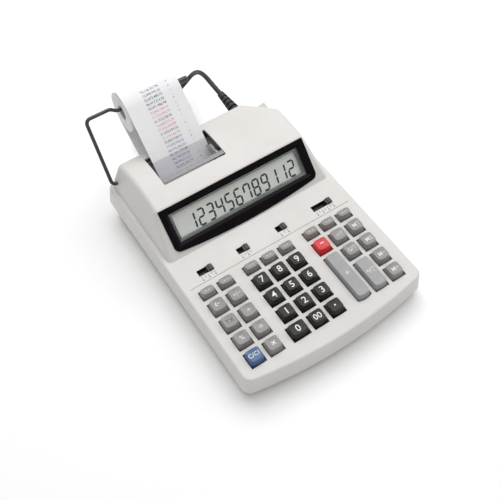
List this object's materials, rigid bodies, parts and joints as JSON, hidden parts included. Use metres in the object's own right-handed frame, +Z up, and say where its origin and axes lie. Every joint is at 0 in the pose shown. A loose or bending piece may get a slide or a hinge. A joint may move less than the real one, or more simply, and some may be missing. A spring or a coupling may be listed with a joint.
{
  "type": "printing desk calculator",
  "caption": "Printing desk calculator with a wide key deck, tilted display, built-in printer, paper roll on a wire arm and a mains lead.",
  "frame": {"origin": "on the desk, midway across the case and midway between the front of the case and the back of the paper roll", "axes": "+Z up, +X to the user's right, +Y away from the user towards the paper roll"},
  "size_m": [0.1934, 0.3686, 0.1205],
  "materials": {
    "case_white": "fine satin texture",
    "bezel_black": "gloss",
    "clear_plastic": "gloss",
    "smoked_plastic": "gloss",
    "lcd_grey": "matte",
    "key_black": "satin",
    "key_grey": "satin",
    "key_light_grey": "satin",
    "key_red": "satin",
    "key_blue": "satin",
    "knob_black": "satin",
    "paper": "matte",
    "wire_black": "black coated",
    "rubber": "matte",
    "silicone": "matte",
    "board_green": "satin",
    "mechanism": "brushed",
    "screw_steel": "satin",
    "cord_black": "satin"
  },
  "bodies": {
    "root": {"case_screws": "screw_steel", "cord_coil": "cord_black", "display_bezel": "bezel_black", "display_lens": "clear_plastic", "key_mat": "silicone", "lcd_panel": "lcd_grey", "lower_case": "case_white", "main_board": "board_green", "paper_tape": "paper", "power_cord": "cord_black", "power_plug": "cord_black", "printer_frame": "mechanism", "rubber_feet": "rubber", "strain_relief": "cord_black", "upper_case": "case_white"},
    "key_a0": {"key_a0": "key_grey"},
    "key_a1": {"key_a1": "key_grey"},
    "key_a2": {"key_a2": "key_grey"},
    "key_a3": {"key_a3": "key_grey"},
    "key_a4": {"key_a4": "key_blue"},
    "key_b0": {"key_b0": "key_grey"},
    "key_b1": {"key_b1": "key_grey"},
    "key_b2": {"key_b2": "key_grey"},
    "key_b3": {"key_b3": "key_grey"},
    "key_b4": {"key_b4": "key_grey"},
    "key_c0": {"key_c0": "key_grey"},
    "key_c1": {"key_c1": "key_black"},
    "key_c2": {"key_c2": "key_black"},
    "key_c3": {"key_c3": "key_black"},
    "key_c4": {"key_c4": "key_black"},
    "key_d0": {"key_d0": "key_grey"},
    "key_d1": {"key_d1": "key_black"},
    "key_d2": {"key_d2": "key_black"},
    "key_d3": {"key_d3": "key_black"},
    "key_d4": {"key_d4": "key_black"},
    "key_e0": {"key_e0": "key_grey"},
    "key_e1": {"key_e1": "key_black"},
    "key_e2": {"key_e2": "key_black"},
    "key_e3": {"key_e3": "key_black"},
    "key_e4": {"key_e4": "key_black"},
    "key_f0": {"key_f0": "key_grey"},
    "key_f1": {"key_f1": "key_red"},
    "key_f2": {"key_f2": "key_light_grey"},
    "key_g0": {"key_g0": "key_grey"},
    "key_g1": {"key_g1": "key_grey"},
    "key_g2": {"key_g2": "key_grey"},
    "key_g3": {"key_g3": "key_light_grey"},
    "key_h0": {"key_h0": "key_grey"},
    "key_h1": {"key_h1": "key_grey"},
    "key_h2": {"key_h2": "key_grey"},
    "key_h3": {"key_h3": "key_grey"},
    "key_h4": {"key_h4": "key_grey"},
    "switch_rounding": {"switch_rounding": "knob_black"},
    "switch_decimal": {"switch_decimal": "knob_black"},
    "switch_total": {"switch_total": "knob_black"},
    "switch_mode": {"switch_mode": "knob_black"},
    "roll_holder": {"roll_holder": "wire_black"},
    "paper_roll": {"paper_roll": "paper"},
    "platen_roller": {"platen_roller": "rubber"},
    "printer_cover": {"printer_cover": "smoked_plastic"}
  },
  "joints": [
    {"name": "key_a0_press", "type": "slide", "parent": "root", "child": "key_a0", "axis": [0, 0.0541, -0.9985], "range_m": [0, 0.003], "stiffness_N_per_m": 150, "springref_m": -0.002},
    {"name": "key_a1_press", "type": "slide", "parent": "root", "child": "key_a1", "axis": [0, 0.0541, -0.9985], "range_m": [0, 0.003], "stiffness_N_per_m": 150, "springref_m": -0.002},
    {"name": "key_a2_press", "type": "slide", "parent": "root", "child": "key_a2", "axis": [0, 0.0541, -0.9985], "range_m": [0, 0.003], "stiffness_N_per_m": 150, "springref_m": -0.002},
    {"name": "key_a3_press", "type": "slide", "parent": "root", "child": "key_a3", "axis": [0, 0.0541, -0.9985], "range_m": [0, 0.003], "stiffness_N_per_m": 150, "springref_m": -0.002},
    {"name": "key_a4_press", "type": "slide", "parent": "root", "child": "key_a4", "axis": [0, 0.0541, -0.9985], "range_m": [0, 0.003], "stiffness_N_per_m": 150, "springref_m": -0.002},
    {"name": "key_b0_press", "type": "slide", "parent": "root", "child": "key_b0", "axis": [0, 0.0541, -0.9985], "range_m": [0, 0.003], "stiffness_N_per_m": 150, "springref_m": -0.002},
    {"name": "key_b1_press", "type": "slide", "parent": "root", "child": "key_b1", "axis": [0, 0.0541, -0.9985], "range_m": [0, 0.003], "stiffness_N_per_m": 150, "springref_m": -0.002},
    {"name": "key_b2_press", "type": "slide", "parent": "root", "child": "key_b2", "axis": [0, 0.0541, -0.9985], "range_m": [0, 0.003], "stiffness_N_per_m": 150, "springref_m": -0.002},
    {"name": "key_b3_press", "type": "slide", "parent": "root", "child": "key_b3", "axis": [0, 0.0541, -0.9985], "range_m": [0, 0.003], "stiffness_N_per_m": 150, "springref_m": -0.002},
    {"name": "key_b4_press", "type": "slide", "parent": "root", "child": "key_b4", "axis": [0, 0.0541, -0.9985], "range_m": [0, 0.003], "stiffness_N_per_m": 150, "springref_m": -0.002},
    {"name": "key_c0_press", "type": "slide", "parent": "root", "child": "key_c0", "axis": [0, 0.0541, -0.9985], "range_m": [0, 0.003], "stiffness_N_per_m": 150, "springref_m": -0.002},
    {"name": "key_c1_press", "type": "slide", "parent": "root", "child": "key_c1", "axis": [0, 0.0541, -0.9985], "range_m": [0, 0.003], "stiffness_N_per_m": 150, "springref_m": -0.002},
    {"name": "key_c2_press", "type": "slide", "parent": "root", "child": "key_c2", "axis": [0, 0.0541, -0.9985], "range_m": [0, 0.003], "stiffness_N_per_m": 150, "springref_m": -0.002},
    {"name": "key_c3_press", "type": "slide", "parent": "root", "child": "key_c3", "axis": [0, 0.0541, -0.9985], "range_m": [0, 0.003], "stiffness_N_per_m": 150, "springref_m": -0.002},
    {"name": "key_c4_press", "type": "slide", "parent": "root", "child": "key_c4", "axis": [0, 0.0541, -0.9985], "range_m": [0, 0.003], "stiffness_N_per_m": 150, "springref_m": -0.002},
    {"name": "key_d0_press", "type": "slide", "parent": "root", "child": "key_d0", "axis": [0, 0.0541, -0.9985], "range_m": [0, 0.003], "stiffness_N_per_m": 150, "springref_m": -0.002},
    {"name": "key_d1_press", "type": "slide", "parent": "root", "child": "key_d1", "axis": [0, 0.0541, -0.9985], "range_m": [0, 0.003], "stiffness_N_per_m": 150, "springref_m": -0.002},
    {"name": "key_d2_press", "type": "slide", "parent": "root", "child": "key_d2", "axis": [0, 0.0541, -0.9985], "range_m": [0, 0.003], "stiffness_N_per_m": 150, "springref_m": -0.002},
    {"name": "key_d3_press", "type": "slide", "parent": "root", "child": "key_d3", "axis": [0, 0.0541, -0.9985], "range_m": [0, 0.003], "stiffness_N_per_m": 150, "springref_m": -0.002},
    {"name": "key_d4_press", "type": "slide", "parent": "root", "child": "key_d4", "axis": [0, 0.0541, -0.9985], "range_m": [0, 0.003], "stiffness_N_per_m": 150, "springref_m": -0.002},
    {"name": "key_e0_press", "type": "slide", "parent": "root", "child": "key_e0", "axis": [0, 0.0541, -0.9985], "range_m": [0, 0.003], "stiffness_N_per_m": 150, "springref_m": -0.002},
    {"name": "key_e1_press", "type": "slide", "parent": "root", "child": "key_e1", "axis": [0, 0.0541, -0.9985], "range_m": [0, 0.003], "stiffness_N_per_m": 150, "springref_m": -0.002},
    {"name": "key_e2_press", "type": "slide", "parent": "root", "child": "key_e2", "axis": [0, 0.0541, -0.9985], "range_m": [0, 0.003], "stiffness_N_per_m": 150, "springref_m": -0.002},
    {"name": "key_e3_press", "type": "slide", "parent": "root", "child": "key_e3", "axis": [0, 0.0541, -0.9985], "range_m": [0, 0.003], "stiffness_N_per_m": 150, "springref_m": -0.002},
    {"name": "key_e4_press", "type": "slide", "parent": "root", "child": "key_e4", "axis": [0, 0.0541, -0.9985], "range_m": [0, 0.003], "stiffness_N_per_m": 150, "springref_m": -0.002},
    {"name": "key_f0_press", "type": "slide", "parent": "root", "child": "key_f0", "axis": [0, 0.0541, -0.9985], "range_m": [0, 0.003], "stiffness_N_per_m": 150, "springref_m": -0.002},
    {"name": "key_f1_press", "type": "slide", "parent": "root", "child": "key_f1", "axis": [0, 0.0541, -0.9985], "range_m": [0, 0.003], "stiffness_N_per_m": 150, "springref_m": -0.002},
    {"name": "key_f2_press", "type": "slide", "parent": "root", "child": "key_f2", "axis": [0, 0.0541, -0.9985], "range_m": [0, 0.003], "stiffness_N_per_m": 150, "springref_m": -0.002},
    {"name": "key_g0_press", "type": "slide", "parent": "root", "child": "key_g0", "axis": [0, 0.0541, -0.9985], "range_m": [0, 0.003], "stiffness_N_per_m": 150, "springref_m": -0.002},
    {"name": "key_g1_press", "type": "slide", "parent": "root", "child": "key_g1", "axis": [0, 0.0541, -0.9985], "range_m": [0, 0.003], "stiffness_N_per_m": 150, "springref_m": -0.002},
    {"name": "key_g2_press", "type": "slide", "parent": "root", "child": "key_g2", "axis": [0, 0.0541, -0.9985], "range_m": [0, 0.003], "stiffness_N_per_m": 150, "springref_m": -0.002},
    {"name": "key_g3_press", "type": "slide", "parent": "root", "child": "key_g3", "axis": [0, 0.0541, -0.9985], "range_m": [0, 0.003], "stiffness_N_per_m": 150, "springref_m": -0.002},
    {"name": "key_h0_press", "type": "slide", "parent": "root", "child": "key_h0", "axis": [0, 0.0541, -0.9985], "range_m": [0, 0.003], "stiffness_N_per_m": 150, "springref_m": -0.002},
    {"name": "key_h1_press", "type": "slide", "parent": "root", "child": "key_h1", "axis": [0, 0.0541, -0.9985], "range_m": [0, 0.003], "stiffness_N_per_m": 150, "springref_m": -0.002},
    {"name": "key_h2_press", "type": "slide", "parent": "root", "child": "key_h2", "axis": [0, 0.0541, -0.9985], "range_m": [0, 0.003], "stiffness_N_per_m": 150, "springref_m": -0.002},
    {"name": "key_h3_press", "type": "slide", "parent": "root", "child": "key_h3", "axis": [0, 0.0541, -0.9985], "range_m": [0, 0.003], "stiffness_N_per_m": 150, "springref_m": -0.002},
    {"name": "key_h4_press", "type": "slide", "parent": "root", "child": "key_h4", "axis": [0, 0.0541, -0.9985], "range_m": [0, 0.003], "stiffness_N_per_m": 150, "springref_m": -0.002},
    {"name": "switch_rounding_slide", "type": "slide", "parent": "root", "child": "switch_rounding", "axis": [1, 0, 0], "range_m": [-0.0093, 0]},
    {"name": "switch_decimal_slide", "type": "slide", "parent": "root", "child": "switch_decimal", "axis": [1, 0, 0], "range_m": [-0.0058, 0]},
    {"name": "switch_total_slide", "type": "slide", "parent": "root", "child": "switch_total", "axis": [1, 0, 0], "range_m": [-0.0045, 0]},
    {"name": "switch_mode_slide", "type": "slide", "parent": "root", "child": "switch_mode", "axis": [1, 0, 0], "range_m": [-0.0153, 0]},
    {"name": "roll_holder_swing", "type": "hinge", "parent": "root", "child": "roll_holder", "pos_m": [-0.086, 0.09365, 0.05422], "axis": [1, 0, 0], "range_deg": [-35, 10], "deforming": ["paper_tape"]},
    {"name": "paper_roll_spin", "type": "hinge", "parent": "roll_holder", "child": "paper_roll", "pos_m": [-0.0255, 0.13032, 0.09827], "axis": [1, 0, 0], "continuous": true},
    {"name": "platen_roller_spin", "type": "hinge", "parent": "root", "child": "platen_roller", "pos_m": [-0.0255, 0.06086, 0.04944], "axis": [1, 0, 0], "continuous": true},
    {"name": "printer_cover_lift", "type": "hinge", "parent": "root", "child": "printer_cover", "pos_m": [-0.0255, 0.0486, 0.07601], "axis": [1, 0, 0], "range_deg": [0, 70]}
  ],
  "couplings": [
    {"joint": "platen_roller_spin", "follows": "paper_roll_spin", "ratio": 3.1705}
  ]
}
